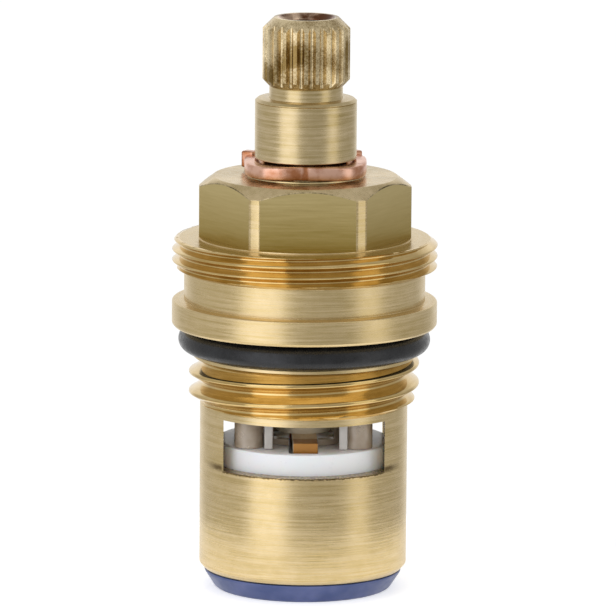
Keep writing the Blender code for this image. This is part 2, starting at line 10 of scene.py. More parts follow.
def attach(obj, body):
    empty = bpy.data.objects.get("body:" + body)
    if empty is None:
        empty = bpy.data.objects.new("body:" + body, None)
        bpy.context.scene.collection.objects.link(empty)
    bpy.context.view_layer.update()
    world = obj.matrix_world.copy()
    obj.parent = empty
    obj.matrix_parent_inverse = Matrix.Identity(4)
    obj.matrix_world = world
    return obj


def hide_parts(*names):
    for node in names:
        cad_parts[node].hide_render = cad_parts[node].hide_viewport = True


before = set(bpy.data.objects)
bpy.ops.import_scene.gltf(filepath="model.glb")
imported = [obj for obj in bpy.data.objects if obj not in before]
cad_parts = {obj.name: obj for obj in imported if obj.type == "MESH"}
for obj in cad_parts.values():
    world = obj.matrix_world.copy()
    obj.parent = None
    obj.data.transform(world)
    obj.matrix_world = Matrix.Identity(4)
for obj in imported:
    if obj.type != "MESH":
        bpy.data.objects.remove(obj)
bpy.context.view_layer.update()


# The body is one bar of brass, turned on a lathe: hexagon, waist, flange, land for the O-ring and barrel. The
# hexagon is milled on it, and so are the two outlet windows and the keyways for the lower disc. Its sizes are
# radii, and levels above the seal's lowest face, in millimetres.
MM = 0.001
ROUND_STEPS = 192
EDGE_ROUND = 0.05

BONNET_BORE = 4.725
BOSS = 5.3
HEX_FLATS = 17.3
HEX_CORNER = 9.68
HEX_TOP_EDGE = 8.35
HEX_TURN = radians(1.7)
HEX_WASTE = 10.7
COVER_ROOT = 11.45
COVER_CORE = 11.2
WAIST = 11.0
FLANGE = 12.1
FLANGE_EDGE = 0.12
RING_LAND = 9.35
SHOULDER_RING = 10.1
PIPE_CORE = 9.25
BARREL = 9.48
BARREL_BORE = 8.25
POCKET = 7.2

BOSS_TOP = 38.23
HEX_TOP = 38.03
CHAMFER_FOOT = 37.06
HEX_FOOT = 32.33
WAIST_TOP = 29.33
FLANGE_TOP = 26.6
FLANGE_FOOT = 24.25
LAND_FOOT = 21.8
POCKET_TOP = 21.4
CHAMBER_TOP = 17.9
BARREL_TOP = 17.1
BARREL_FOOT = 1.8

WINDOW_HALF = 7.32
WINDOW_SILL, WINDOW_HEAD = 11.72, 16.43
WINDOW_TURN = radians(0.6)
KEYWAY_REACH, KEYWAY_HALF, KEYWAY_TOP = 8.8, 1.55, 10.45
BURR_WIDTH = 0.06
# The colour of the painted shade along the window sills and past their corners.
SILL_SHADE_COLOUR = (0.12, 0.07, 0.02)


def node(tree, kind, **values):
    """A shader node with its settings, and with its sockets set or linked by name."""
    made = tree.nodes.new("ShaderNode" + kind)
    for key, value in values.items():
        if key in made.bl_rna.properties.keys():
            setattr(made, key, value)
            continue
        numbered = key[0] == "_" and key[1:].isdigit()
        socket = made.inputs[int(key[1:]) if numbered else key.replace("_", " ")]
        if isinstance(value, bpy.types.NodeSocket):
            tree.links.new(value, socket)
        else:
            socket.default_value = value
    return made


def number(tree, operation, *values):
    """A number worked out from up to three others."""
    sockets = {f"_{place}": value for place, value in enumerate(values)}
    return node(tree, "Math", operation=operation, **sockets).outputs[0]


def spread(tree, value, low, high, to_low=0.0, to_high=1.0):
    """A value between two limits, stretched to run between two others."""
    return node(
        tree, "MapRange", Value=value, From_Min=low, From_Max=high, To_Min=to_low, To_Max=to_high
    ).outputs["Result"]


def place_of(tree):
    """The place on the piece, in metres."""
    return node(tree, "TexCoord").outputs["Object"]


def along_axes(tree, place):
    """The place's three numbers: to the right, to the back and up."""
    return node(tree, "SeparateXYZ", Vector=place).outputs


def stretched(tree, place, scale):
    """The place with each of its three numbers scaled."""
    return node(tree, "VectorMath", operation="MULTIPLY", _0=place, _1=scale).outputs[0]


def noise(tree, place, scale, detail, **settings):
    """Smooth noise over the piece, with finer noise on it as the detail grows."""
    return node(tree, "TexNoise", Vector=place, Scale=scale, Detail=detail, **settings).outputs["Fac"]


def finish(name, roughness, metallic=0.0, **sockets):
    """A material whose plain numbers sit on the shader's own sockets."""
    made = bpy.data.materials.new(name)
    made.use_nodes = True
    surface = made.node_tree.nodes["Principled BSDF"]
    surface.inputs["Roughness"].default_value = roughness
    surface.inputs["Metallic"].default_value = metallic
    for key, value in sockets.items():
        surface.inputs[key.replace("_", " ")].default_value = value
    return made, made.node_tree, surface


def shaded(tree, surface, tone, dark, light):
    """The colour runs from dark to light with the tone."""
    colour = node(tree, "Mix", data_type="RGBA")
    colour.inputs[6].default_value = (*dark, 1)
    colour.inputs[7].default_value = (*light, 1)
    tree.links.new(tone, colour.inputs[0])
    tree.links.new(colour.outputs[2], surface.inputs["Base Color"])


def laid_over(made, share, colour):
    """The material with another colour laid over it, in the share given."""
    tree = made.node_tree
    surface = tree.nodes["Principled BSDF"]
    mixed = node(tree, "Mix", data_type="RGBA")
    tree.links.new(share, mixed.inputs[0])
    tree.links.new(surface.inputs["Base Color"].links[0].from_socket, mixed.inputs[6])
    mixed.inputs[7].default_value = (*colour, 1)
    tree.links.new(mixed.outputs[2], surface.inputs["Base Color"])
    return made


def roughened(tree, surface, grain, low, high, smoothest, roughest):
    """The roughness runs from smoothest to roughest with the grain."""
    tree.links.new(spread(tree, grain, low, high, smoothest, roughest), surface.inputs["Roughness"])


def raised(tree, surface, height, strength, depth):
    """Fine relief, as deep as the depth in millimetres."""
    bump = node(tree, "Bump", Strength=strength, Distance=depth * MM, Height=height)
    tree.links.new(bump.outputs[0], surface.inputs["Normal"])


def lathe_lines(tree, across, along, detail=2.0):
    """Noise drawn out round the axis, as a lathe tool leaves it on round, conical and flat faces alike."""
    x, y, z = along_axes(tree, place_of(tree))
    radius = number(tree, "SQRT", number(tree, "MULTIPLY_ADD", y, y, number(tree, "MULTIPLY", x, x)))
    line = node(tree, "CombineXYZ", X=x, Y=y, Z=number(tree, "ADD", z, radius)).outputs[0]
    return noise(tree, stretched(tree, line, (along, along, across)), 1.0, detail, Roughness=0.6)


def turned_metal(name, dark, light, roughness, line_depth):
    """Brass off the lathe: fine and coarse lines round the axis, under a faint cloud."""
    made, tree, surface = finish(name, roughness, 1.0, Anisotropic=0.6)
    fine = lathe_lines(tree, 5200, 170, 3.0)
    coarse = lathe_lines(tree, 1500, 60)
    cloud = noise(tree, place_of(tree), 900.0, 3.0)
    shade = number(tree, "MULTIPLY_ADD", cloud, 0.3, number(tree, "MULTIPLY_ADD", coarse, 0.3, fine))
    shaded(tree, surface, spread(tree, shade, 0.55, 1.05), dark, light)
    roughened(tree, surface, fine, 0.3, 0.7, roughness - 0.05, roughness + 0.07)
    raised(tree, surface, number(tree, "MULTIPLY_ADD", coarse, 0.25, fine), line_depth, 0.02)
    tangent = node(tree, "Tangent", direction_type="RADIAL", axis="Z")
    tree.links.new(tangent.outputs[0], surface.inputs["Tangent"])
    return made


def milled_metal(name, dark, light, roughness):
    """Flats that an end mill has swept: fine level lines, and painted shade that makes them darker and more olive
    towards the foot.
    """
    made, tree, surface = finish(name, roughness, 1.0, Anisotropic=0.3)
    place = place_of(tree)
    lines = noise(tree, stretched(tree, place, (260, 260, 5600)), 1.0, 2.0, Roughness=0.7)
    # Painted shade: this height makes the flats darker and more olive towards the foot.
    height = spread(tree, along_axes(tree, place)[2], 32.5 * MM, 37.2 * MM)
    shade = number(tree, "MULTIPLY_ADD", lines, 0.7, height)
    shaded(tree, surface, spread(tree, shade, 0.25, 1.4), dark, light)
    roughened(tree, surface, lines, 0.3, 0.7, roughness - 0.04, roughness + 0.06)
    raised(tree, surface, lines, 0.5, 0.02)
    return made


def faced_metal(name, dark, light, roughness, grain=1500.0, pitted=0.35, span=0.27, metallic=1.0):
    """Faced, rolled or drilled brass: small pits, and a bloom whose contrast grows as the span narrows."""
    made, tree, surface = finish(name, roughness, metallic)
    pits = noise(tree, place_of(tree), grain, 4.0, Roughness=0.7)
    cloud = noise(tree, place_of(tree), 300.0, 2.0)
    shade = number(tree, "MULTIPLY_ADD", pits, 0.6, cloud)
    shaded(tree, surface, spread(tree, shade, 0.82 - span, 0.82 + span), dark, light)
    roughened(tree, surface, pits, 0.3, 0.7, roughness - 0.08, roughness + 0.12)
    raised(tree, surface, pits, pitted, 0.03)
    return made


def painted_sill_shade(made):
    """Painted shade on the brass: a ragged dark line along the sills, and dark smears past their corners."""
    tree = made.node_tree
    place = place_of(tree)
    x, _, z = along_axes(tree, place)
    height = number(tree, "MULTIPLY_ADD", noise(tree, place, 4600.0, 3.0), 0.4 * MM, z)
    across = number(tree, "ABSOLUTE", x)

    def away_from(level):
        return number(tree, "ABSOLUTE", number(tree, "SUBTRACT", height, level * MM))

    on_sill = spread(tree, away_from(WINDOW_SILL + 0.14), 0.04 * MM, 0.11 * MM, 0.95, 0)
    within_window = spread(tree, across, 7.2 * MM, 7.5 * MM, 1, 0)
    near_sill = spread(tree, away_from(WINDOW_SILL + 0.45), 0.1 * MM, 0.4 * MM, 0.85, 0)
    past_window = spread(tree, across, 7.2 * MM, 7.5 * MM, 0, 1)
    fading_out = spread(tree, across, 7.9 * MM, 8.8 * MM, 1, 0)
    sill_line_shade = number(tree, "MULTIPLY", on_sill, within_window)
    corner_smear_shade = number(tree, "MULTIPLY", number(tree, "MULTIPLY", near_sill, past_window), fading_out)
    return laid_over(made, number(tree, "MAXIMUM", sill_line_shade, corner_smear_shade), SILL_SHADE_COLOUR)


def turned(outline, corner=EDGE_ROUND, closed=True):
    """An outline of (radius, height), its corners broken by a small round, spun about the axis."""
    shape = bmesh.new()
    chain = [shape.verts.new((radius * MM, 0, height * MM)) for radius, height in outline]
    for start, end in zip(chain, chain[1:] + chain[:1] if closed else chain[1:]):
        shape.edges.new((start, end))
    if corner:
        bmesh.ops.bevel(
            shape, geom=[v for v in chain if len(v.link_edges) == 2], offset=corner * MM, offset_type="OFFSET",
            segments=2, profile=0.5, affect="VERTICES", material=-1,
        )
    bmesh.ops.spin(
        shape, geom=shape.verts[:] + shape.edges[:], axis=(0, 0, 1), cent=(0, 0, 0), angle=2 * pi,
        steps=ROUND_STEPS, use_merge=True, use_duplicate=False,
    )
    bmesh.ops.remove_doubles(shape, verts=shape.verts[:], dist=1e-7)
    bmesh.ops.recalc_face_normals(shape, faces=shape.faces[:])
    return shape


def block(low, high, turn=0.0):
    """A block between two corners, turned about the axis."""
    shape = bmesh.new()
    middle = [(a + b) / 2 * MM for a, b in zip(low, high)]
    size = [(b - a) * MM for a, b in zip(low, high)]
    place = Matrix.Rotation(turn, 4, "Z") @ Matrix.Translation(middle) @ Matrix.Diagonal((*size, 1))
    bmesh.ops.create_cube(shape, size=1, matrix=place)
    return shape


def mesh_of(shape, name):
    """The finished mesh of a shape."""
    mesh = bpy.data.meshes.new(name)
    shape.to_mesh(mesh)
    shape.free()
    return mesh


def carved(shape, *steps):
    """The shape after boolean steps, each an operation and the shape it works with."""
    work = bpy.data.objects.new("work", mesh_of(shape, "work"))
    bpy.context.scene.collection.objects.link(work)
    tools = []
    for operation, tool in steps:
        other = bpy.data.objects.new("tool", mesh_of(tool, "tool"))
        bpy.context.scene.collection.objects.link(other)
        step = work.modifiers.new("step", "BOOLEAN")
        step.operation = operation
        step.object = other
        tools.append(other)
    graph = bpy.context.evaluated_depsgraph_get()
    mesh = bpy.data.meshes.new_from_object(work.evaluated_get(graph))
    result = bmesh.new()
    result.from_mesh(mesh)
    bpy.data.meshes.remove(mesh)
    for extra in [work, *tools]:
        bpy.data.objects.remove(extra, do_unlink=True)
    return result


def piece(name, shape, materials, body, slot, *nodes, angle=35, choose=None):
    """The finished piece: smooth but for its sharp edges, riding on its body in place of its CAD node."""
    mesh = mesh_of(shape, name)
    mesh.shade_smooth()
    mesh.set_sharp_from_angle(angle=radians(angle))
    for material in materials if isinstance(materials, tuple) else (materials,):
        mesh.materials.append(material)
    for face in mesh.polygons if choose else ():
        face.material_index = choose(face.center / MM, face.normal)
    made = bpy.data.objects.new(name, mesh)
    bpy.context.scene.collection.objects.link(made)
    even = made.modifiers.new("even_shading", "WEIGHTED_NORMAL")
    even.keep_sharp = True
    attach(made, body)
    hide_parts(*nodes)


blank = turned([
    (BONNET_BORE + 0.25, BOSS_TOP), (BOSS, BOSS_TOP), (BOSS, HEX_TOP), (HEX_TOP_EDGE, HEX_TOP),
    (HEX_CORNER, CHAMFER_FOOT), (HEX_CORNER, HEX_FOOT), (COVER_ROOT, HEX_FOOT), (COVER_CORE, HEX_FOOT - 0.23),
    (COVER_CORE, WAIST_TOP + 0.17), (WAIST, WAIST_TOP), (WAIST, FLANGE_TOP), (FLANGE - FLANGE_EDGE, FLANGE_TOP),
    (FLANGE, FLANGE_TOP - FLANGE_EDGE), (FLANGE, FLANGE_FOOT + 0.25), (FLANGE - 0.2, FLANGE_FOOT),
    (RING_LAND, FLANGE_FOOT), (RING_LAND, LAND_FOOT), (SHOULDER_RING, LAND_FOOT),
    (SHOULDER_RING + 0.05, LAND_FOOT - 0.35), (PIPE_CORE, LAND_FOOT - 0.85), (PIPE_CORE, BARREL_TOP + 0.5),
    (BARREL, BARREL_TOP), (BARREL, BARREL_FOOT + 0.5), (BARREL - 0.43, BARREL_FOOT),
    (BARREL_BORE + 0.15, BARREL_FOOT), (BARREL_BORE, BARREL_FOOT + 0.15), (BARREL_BORE, CHAMBER_TOP),
    (POCKET, CHAMBER_TOP), (POCKET, POCKET_TOP), (BONNET_BORE, POCKET_TOP), (BONNET_BORE, BOSS_TOP - 0.25),
])
waste_foot, waste_top = HEX_FOOT + 0.11, BOSS_TOP + 0.97
hex_waste = turned(
    [(0, waste_top), (HEX_WASTE, waste_top), (HEX_WASTE, waste_foot), (0, waste_foot)], corner=0, closed=False,
)
hex_core = bmesh.new()
bmesh.ops.create_cone(
    hex_core, cap_ends=True, segments=6, radius1=HEX_FLATS / sqrt(3) * MM, radius2=HEX_FLATS / sqrt(3) * MM,
    depth=8.6 * MM, matrix=Matrix.Rotation(HEX_TURN + radians(30), 4, "Z") @ Matrix.Translation((0, 0, 35.9 * MM)),
)
hex_waste = carved(hex_waste, ("DIFFERENCE", hex_core))
windows = block((-WINDOW_HALF, -20, WINDOW_SILL), (WINDOW_HALF, 20, WINDOW_HEAD), WINDOW_TURN)
keyways = block((-KEYWAY_REACH, -KEYWAY_HALF, 0.7), (KEYWAY_REACH, KEYWAY_HALF, KEYWAY_TOP))
body = carved(blank, ("DIFFERENCE", hex_waste), ("DIFFERENCE", windows), ("DIFFERENCE", keyways))
scallops = [
    e for e in body.edges
    if len(e.link_faces) == 2 and e.verts[0].co.z > (CHAMFER_FOOT - 0.16) * MM
    and hypot(*e.verts[0].co.xy) > (HEX_TOP_EDGE + 0.1) * MM
    and sorted(round(f.normal.z, 1) for f in e.link_faces) in ([0.0, 0.8], [-0.0, 0.8])
]
bmesh.ops.bevel(
    body, geom=scallops, offset=BURR_WIDTH * MM, offset_type="OFFSET", segments=1, profile=0.5,
    affect="EDGES", material=-1,
)

# The body's brass carries painted shade along the window sills and past their corners.
body_brass = painted_sill_shade(turned_metal(
    "windowed_brass", dark=(0.59, 0.44, 0.19), light=(0.8, 0.63, 0.36), roughness=0.26, line_depth=0.35,
))
flat_brass = milled_metal("milled_flats", dark=(0.4, 0.28, 0.06), light=(0.64, 0.51, 0.23), roughness=0.36)
top_brass = faced_metal(
    "faced_hexagon", dark=(0.5, 0.38, 0.18), light=(0.76, 0.6, 0.35), roughness=0.28, span=0.2,
)
edge_brass = faced_metal(
    "burred_edge", dark=(0.1, 0.07, 0.02), light=(0.75, 0.6, 0.34), roughness=0.3,
    grain=2600.0, pitted=0.5, span=0.16,
)


def body_finish(middle, normal):
    """Flats, faced top and burred edges on the hexagon, and turned brass elsewhere."""
    reach = hypot(middle.x, middle.y)
    if middle.z < HEX_FOOT + 0.17 or reach < BOSS - 0.1:
        return 0
    if normal.z > 0.6:
        return 2
    if normal.z > 0.2 and middle.z > CHAMFER_FOOT - 0.26:
        return 3
    return 1 if abs(normal.z) < 0.1 and reach < HEX_CORNER - 0.38 and middle.z < HEX_TOP - 0.03 else 0


piece(
    "brass_body", body, (body_brass, flat_brass, top_brass, edge_brass), "body", "housing", "housing",
    angle=28, choose=body_finish,
)


# Two right-hand threads are cut in the body last: the half inch pipe thread that holds the cartridge in the tap,
# and the fine one for the cover cap. Each is a skin over the turned blank and runs out into it at both ends.
PIPE_CREST, PIPE_ROOT = 10.54, 9.4
PIPE_PITCH = 1.814
PIPE_FOOT, PIPE_TOP = 17.0, 21.7
COVER_CREST = 12.09
COVER_PITCH = 1.0
WINDING_STEPS = 144


def wound_thread(crest, root, pitch, flat, first_crest, low, high, limit, sink, turns):
    """A right-hand thread: its outline wound through one turn, the turn repeated upwards, held in a limit."""
    half = pitch / 2
    outline = [
        (root, -half), (root, -half + flat / 2), (crest, -flat / 2),
        (crest, flat / 2), (root, half - flat / 2), (root, half),
    ]
    shape = bmesh.new()
    chain = [shape.verts.new((radius * MM, 0, (first_crest + rise) * MM)) for radius, rise in outline]
    for start, end in zip(chain, chain[1:]):
        shape.edges.new((start, end))
    bmesh.ops.bevel(
        shape, geom=chain[1:5], offset=0.07 * pitch * MM, offset_type="OFFSET", segments=3, profile=0.5,
        affect="VERTICES", material=-1,
    )
    flanks = [e for e in shape.edges if e.calc_length() > (crest - root) / 2 * MM]
    bmesh.ops.subdivide_edges(shape, edges=flanks, cuts=5)
    bmesh.ops.spin(
        shape, geom=shape.verts[:] + shape.edges[:], axis=(0, 0, 1), cent=(0, 0, 0), angle=2 * pi,
        dvec=(0, 0, pitch / WINDING_STEPS * MM), steps=WINDING_STEPS, use_merge=False, use_duplicate=False,
    )
    turn = shape.verts[:] + shape.edges[:] + shape.faces[:]
    for count in range(1, turns):
        copy = bmesh.ops.duplicate(shape, geom=turn)["geom"]
        lifted = [v for v in copy if isinstance(v, bmesh.types.BMVert)]
        bmesh.ops.translate(shape, verts=lifted, vec=(0, 0, count * pitch * MM))
    bmesh.ops.remove_doubles(shape, verts=shape.verts[:], dist=1e-6)
    for v in shape.verts:
        height = min(max(v.co.z / MM, low), high)
        inward = sink if height != v.co.z / MM else 0.0
        radius = hypot(v.co.x, v.co.y) / MM
        held = min(radius, limit(height) - inward) / radius
        v.co = (v.co.x * held, v.co.y * held, height * MM)
    bmesh.ops.remove_doubles(shape, verts=shape.verts[:], dist=1e-7)
    bmesh.ops.recalc_face_normals(shape, faces=shape.faces[:])
    return shape


def pipe_limit(height):
    """The pipe thread's lead at its foot and its run-out under the O-ring."""
    return min(PIPE_CREST - 0.02, 9.35 + (height - PIPE_FOOT) * 1.5, 9.9 + (PIPE_TOP - height))


def cover_limit(height):
    """The cover thread's chamfers at its top and its foot."""
    return min(COVER_CREST, 11.7 + (HEX_FOOT - height), COVER_CORE + (height - WAIST_TOP) * 2)


# The threads are the body's own brass, given a darker, more orange copy of its colour: painted shade for the light
# that bounces between the flanks.
thread_brass_painted_shade = turned_metal(
    "cut_thread_painted_shade", dark=(0.54, 0.36, 0.11), light=(0.8, 0.6, 0.29), roughness=0.11, line_depth=0.1,
)
pipe_thread = wound_thread(
    PIPE_CREST, PIPE_ROOT, PIPE_PITCH, flat=0.24, first_crest=17.21 - 2 * PIPE_PITCH, low=PIPE_FOOT,
    high=PIPE_TOP, limit=pipe_limit, sink=0.6, turns=5,
)
piece("pipe_thread", pipe_thread, thread_brass_painted_shade, "body", "housing", "housing", angle=50)
cover_thread = wound_thread(
    COVER_CREST, COVER_ROOT, COVER_PITCH, flat=0.1, first_crest=29.75 - 3 * COVER_PITCH, low=WAIST_TOP,
    high=HEX_FOOT - 0.01, limit=cover_limit, sink=0.32, turns=7,
)
piece("cover_thread", cover_thread, thread_brass_painted_shade, "body", "housing", "housing", angle=50)


# The O-ring under the flange is black nitrile rubber, moulded. It is stretched on to its land, and seals the
# body in the tap's mouth.
RING_LEVEL = 22.96
RING_MIDDLE = 10.42
RING_SECTION = 2.16


def o_ring(level, middle, section):
    """A round section spun about the axis."""
    shape = bmesh.new()
    bmesh.ops.create_circle(
        shape, segments=48, radius=section / 2 * MM,
        matrix=Matrix.Translation((middle * MM, 0, level * MM)) @ Matrix.Rotation(radians(90), 4, "X"),
    )
    bmesh.ops.spin(
        shape, geom=shape.verts[:] + shape.edges[:], axis=(0, 0, 1), cent=(0, 0, 0), angle=2 * pi,
        steps=ROUND_STEPS, use_merge=True, use_duplicate=False,
    )
    bmesh.ops.recalc_face_normals(shape, faces=shape.faces[:])
    return shape


def rubber(name, dark, light, roughness, grain=2400.0, **sockets):
    """Moulded rubber with a fine grain and a little dust."""
    made, tree, surface = finish(name, roughness, **sockets)
    grains = noise(tree, place_of(tree), grain, 4.0)
    dust = noise(tree, place_of(tree), 420.0, 2.0)
    shaded(tree, surface, spread(tree, dust, 0.4, 0.72), dark, light)
    roughened(tree, surface, grains, 0.35, 0.7, roughness - 0.08, roughness + 0.1)
    raised(tree, surface, grains, 0.12, 0.02)
    return made


black_rubber = rubber(
    "black_nitrile", dark=(0.008, 0.008, 0.009), light=(0.018, 0.019, 0.021), roughness=0.3,
    Specular_IOR_Level=0.42,
)
flange_ring = o_ring(RING_LEVEL, RING_MIDDLE, RING_SECTION)
piece("flange_o_ring", flange_ring, black_rubber, "body", "o_ring", "body_o_ring", angle=60)


# The two discs are white alumina ceramic, pressed, fired and lapped flat where they meet. The lower one is keyed
# in the barrel, and the upper one, shut over it here, has a slot for the spindle's tang.
DISC = 8.1
DISC_EDGE = 0.4
LOWER_FACES = 6.95, 10.4
UPPER_FACES = 10.45, 13.7
PORT_INNER, PORT_OUTER = 2.6, 5.6
PORT_HALF = radians(30)
KEY_INNER, KEY_OUTER, KEY_HALF = 7.1, 8.75, 1.5
SLOT_HALF, SLOT_REACH, SLOT_FLOOR = 1.325, 7.6, 12.7


def ceramic():
    """White glazed ceramic with a faint cloud in it."""
    made, tree, surface = finish("alumina", 0.3, Subsurface_Weight=0.15, Subsurface_Scale=0.002)
    grains = noise(tree, place_of(tree), 3200.0, 3.0)
    cloud = noise(tree, place_of(tree), 150.0, 2.0)
    shaded(tree, surface, spread(tree, cloud, 0.35, 0.65), dark=(0.93, 0.93, 0.93), light=(0.97, 0.97, 0.98))
    roughened(tree, surface, grains, 0.3, 0.7, 0.26, 0.38)
    raised(tree, surface, grains, 0.1, 0.01)
    return made


def ring_sector(inner, outer, start, end, low, high, steps=24):
    """An upright block cut from a ring, from one bearing to another."""
    shape = bmesh.new()
    section = (inner, low), (outer, low), (outer, high), (inner, high)
    face = shape.faces.new([shape.verts.new((radius * MM, 0, level * MM)) for radius, level in section])
    bmesh.ops.rotate(shape, verts=shape.verts[:], cent=(0, 0, 0), matrix=Matrix.Rotation(start, 3, "Z"))
    bmesh.ops.spin(
        shape, geom=[face], axis=(0, 0, 1), cent=(0, 0, 0), angle=end - start, steps=steps,
        use_merge=False, use_duplicate=False,
    )
    bmesh.ops.recalc_face_normals(shape, faces=shape.faces[:])
    return shape


def disc_blank(low, high):
    """A disc with rounded edges."""
    return turned([(0, high), (DISC, high), (DISC, low), (0, low)], corner=DISC_EDGE, closed=False)


def ports(bearing, low, high):
    """The cuts for two ports through a disc, opposite each other."""
    cuts = []
    for middle in (bearing, bearing + pi):
        port = ring_sector(PORT_INNER, PORT_OUTER, middle - PORT_HALF, middle + PORT_HALF, low - 1, high + 1)
        cuts.append(("DIFFERENCE", port))
    return cuts


alumina = ceramic()
key = (KEY_INNER, -KEY_HALF, LOWER_FACES[0] + 0.3), (KEY_OUTER, KEY_HALF, LOWER_FACES[1] - 0.3)
lower = carved(
    disc_blank(*LOWER_FACES), *ports(pi / 2, *LOWER_FACES), ("UNION", block(*key)), ("UNION", block(*key, pi)),
)
piece("lower_disc", lower, alumina, "body", "disc", "fixed_disc")
slot = block((-SLOT_HALF, -SLOT_REACH, SLOT_FLOOR), (SLOT_HALF, SLOT_REACH, UPPER_FACES[1] + 1.3))
upper = carved(disc_blank(*UPPER_FACES), *ports(0, *UPPER_FACES), ("DIFFERENCE", slot))
piece("upper_disc", upper, alumina, "spindle", "disc", "moving_disc")


# The seat seal is a blue rubber cup, moulded with a wide lip, that the water presses on the tap's seat. A stiff
# white nylon ring inside keeps its bore open. Both are pushed into the barrel's foot.
SEAL_TOP = 6.9
SEAL_WALL = 8.1
SEAL_LIP, LIP_TOP = 9.02, 1.7
SEAL_BORE = 5.3
SEAL_LEDGE = 0.8
RING_SEAT = 6.0
RING_SLACK = 0.05


def nylon(name, dark, light, roughness, **sockets):
    """Moulded nylon with a soft cloud in it."""
    made, tree, surface = finish(name, roughness, **sockets)
    cloud = noise(tree, place_of(tree), 500.0, 3.0)
    shaded(tree, surface, spread(tree, cloud, 0.35, 0.65), dark, light)
    roughened(tree, surface, cloud, 0.3, 0.7, roughness - 0.05, roughness + 0.08)
    raised(tree, surface, cloud, 0.08, 0.02)
    return made


blue_rubber = rubber(
    "blue_rubber", dark=(0.065, 0.1, 0.27), light=(0.13, 0.165, 0.37), roughness=0.36, grain=1500.0,
)
seal = turned([
    (SEAL_WALL, SEAL_TOP), (SEAL_WALL, LIP_TOP), (SEAL_LIP, LIP_TOP), (SEAL_LIP - 0.02, LIP_TOP - 0.2),
    (8.14, 0.16), (7.92, 0.0), (SEAL_BORE, 0.0), (SEAL_BORE, SEAL_LEDGE), (RING_SEAT, SEAL_LEDGE),
    (RING_SEAT, SEAL_TOP),
])
piece("seat_seal_cup", seal, blue_rubber, "body", "seat_seal", "seat_seal")

white_nylon = nylon("white_nylon", dark=(0.7, 0.7, 0.68), light=(0.8, 0.8, 0.78), roughness=0.5)
ring_foot, ring_top, ring_outside = SEAL_LEDGE + RING_SLACK, SEAL_TOP - RING_SLACK, RING_SEAT - RING_SLACK
stiffener = turned(
    [(SEAL_BORE, ring_foot), (ring_outside, ring_foot), (ring_outside, ring_top), (SEAL_BORE, ring_top)],
    corner=0.08,
)
piece("seal_stiffener", stiffener, white_nylon, "body", "support_ring", "seal_support_ring")


# The spindle is turned brass with a 24-tooth spline, a screw hole, a groove for the clip, two grooves for O-rings
# and a notched rim that stops it after a quarter turn. A round foot and a flat tang below drive the upper disc.
SPINDLE_TOP = 52.58
SPLINE, SPLINE_ROOT, SPLINE_FOOT = 3.975, 3.545, 46.93
TEETH = 24
GROOVE_ROOT_HALF, GROOVE_MOUTH_HALF = 0.13, 0.54
SCREW_HOLE, HOLE_FOOT, HOLE_POINT = 2.1, 43.58, 42.37
NECK, NECK_TOP = 3.345, 46.28
COLLAR, COLLAR_TOP, COLLAR_FOOT = 4.635, 45.18, 39.68
FINE_LINE = 44.87
CLIP_GROOVE = 3.85
RING_GROOVE = 3.475
RING_GROOVE_LEVELS = (33.03, 31.43), (29.03, 27.43)
RIM, RIM_TOP, RIM_FOOT = 7.0, 20.8, 18.6
NOTCH_INNER, NOTCH_OUTER = 6.25, 8.35
NOTCH_START, NOTCH_END = radians(-11), radians(101)
CORE, CORE_FOOT = 3.3, 15.95
FOOT, FOOT_LEVEL = 2.45, 14.5
TANG_HALF, TANG_REACH, TANG_LEVEL = 1.1, 7.0, 12.8
TANG_TURN = radians(1.6)
# The colour of the painted light on the tang's middle.
TANG_PAINTED_LIGHT = (0.85, 0.66, 0.42)


def spline_grooves(low, high):
    """The grooves between the teeth: one rounded groove's section, pulled up and repeated round the axis."""
    shape = bmesh.new()
    mouth = SPLINE + 0.35
    section = [
        (SPLINE_ROOT, -GROOVE_ROOT_HALF), (mouth, -GROOVE_MOUTH_HALF),
        (mouth, GROOVE_MOUTH_HALF), (SPLINE_ROOT, GROOVE_ROOT_HALF),
    ]
    chain = [shape.verts.new((x * MM, y * MM, low * MM)) for x, y in section]
    shape.faces.new(chain)
    bmesh.ops.bevel(
        shape, geom=[chain[0], chain[3]], offset=0.1 * MM, offset_type="OFFSET", segments=3, profile=0.5,
        affect="VERTICES", material=-1,
    )
    pulled = bmesh.ops.extrude_face_region(shape, geom=shape.faces[:])
    top = [v for v in pulled["geom"] if isinstance(v, bmesh.types.BMVert)]
    bmesh.ops.translate(shape, verts=top, vec=(0, 0, (high - low) * MM))
    bmesh.ops.rotate(shape, verts=shape.verts[:], cent=(0, 0, 0), matrix=Matrix.Rotation(pi / TEETH, 3, "Z"))
    first = shape.verts[:] + shape.edges[:] + shape.faces[:]
    for tooth in range(1, TEETH):
        copy = bmesh.ops.duplicate(shape, geom=first)["geom"]
        turned_on = [v for v in copy if isinstance(v, bmesh.types.BMVert)]
        bearing = Matrix.Rotation(2 * pi * tooth / TEETH, 3, "Z")
        bmesh.ops.rotate(shape, verts=turned_on, cent=(0, 0, 0), matrix=bearing)
    bmesh.ops.recalc_face_normals(shape, faces=shape.faces[:])
    return shape


def painted_light_middle(made):
    """Painted light laid over the tang's painted shade, between the tang's ends."""
    tree = made.node_tree
    along = number(tree, "ABSOLUTE", along_axes(tree, place_of(tree))[1])
    return laid_over(made, spread(tree, along, 4.5 * MM, 4.9 * MM, 1, 0), TANG_PAINTED_LIGHT)


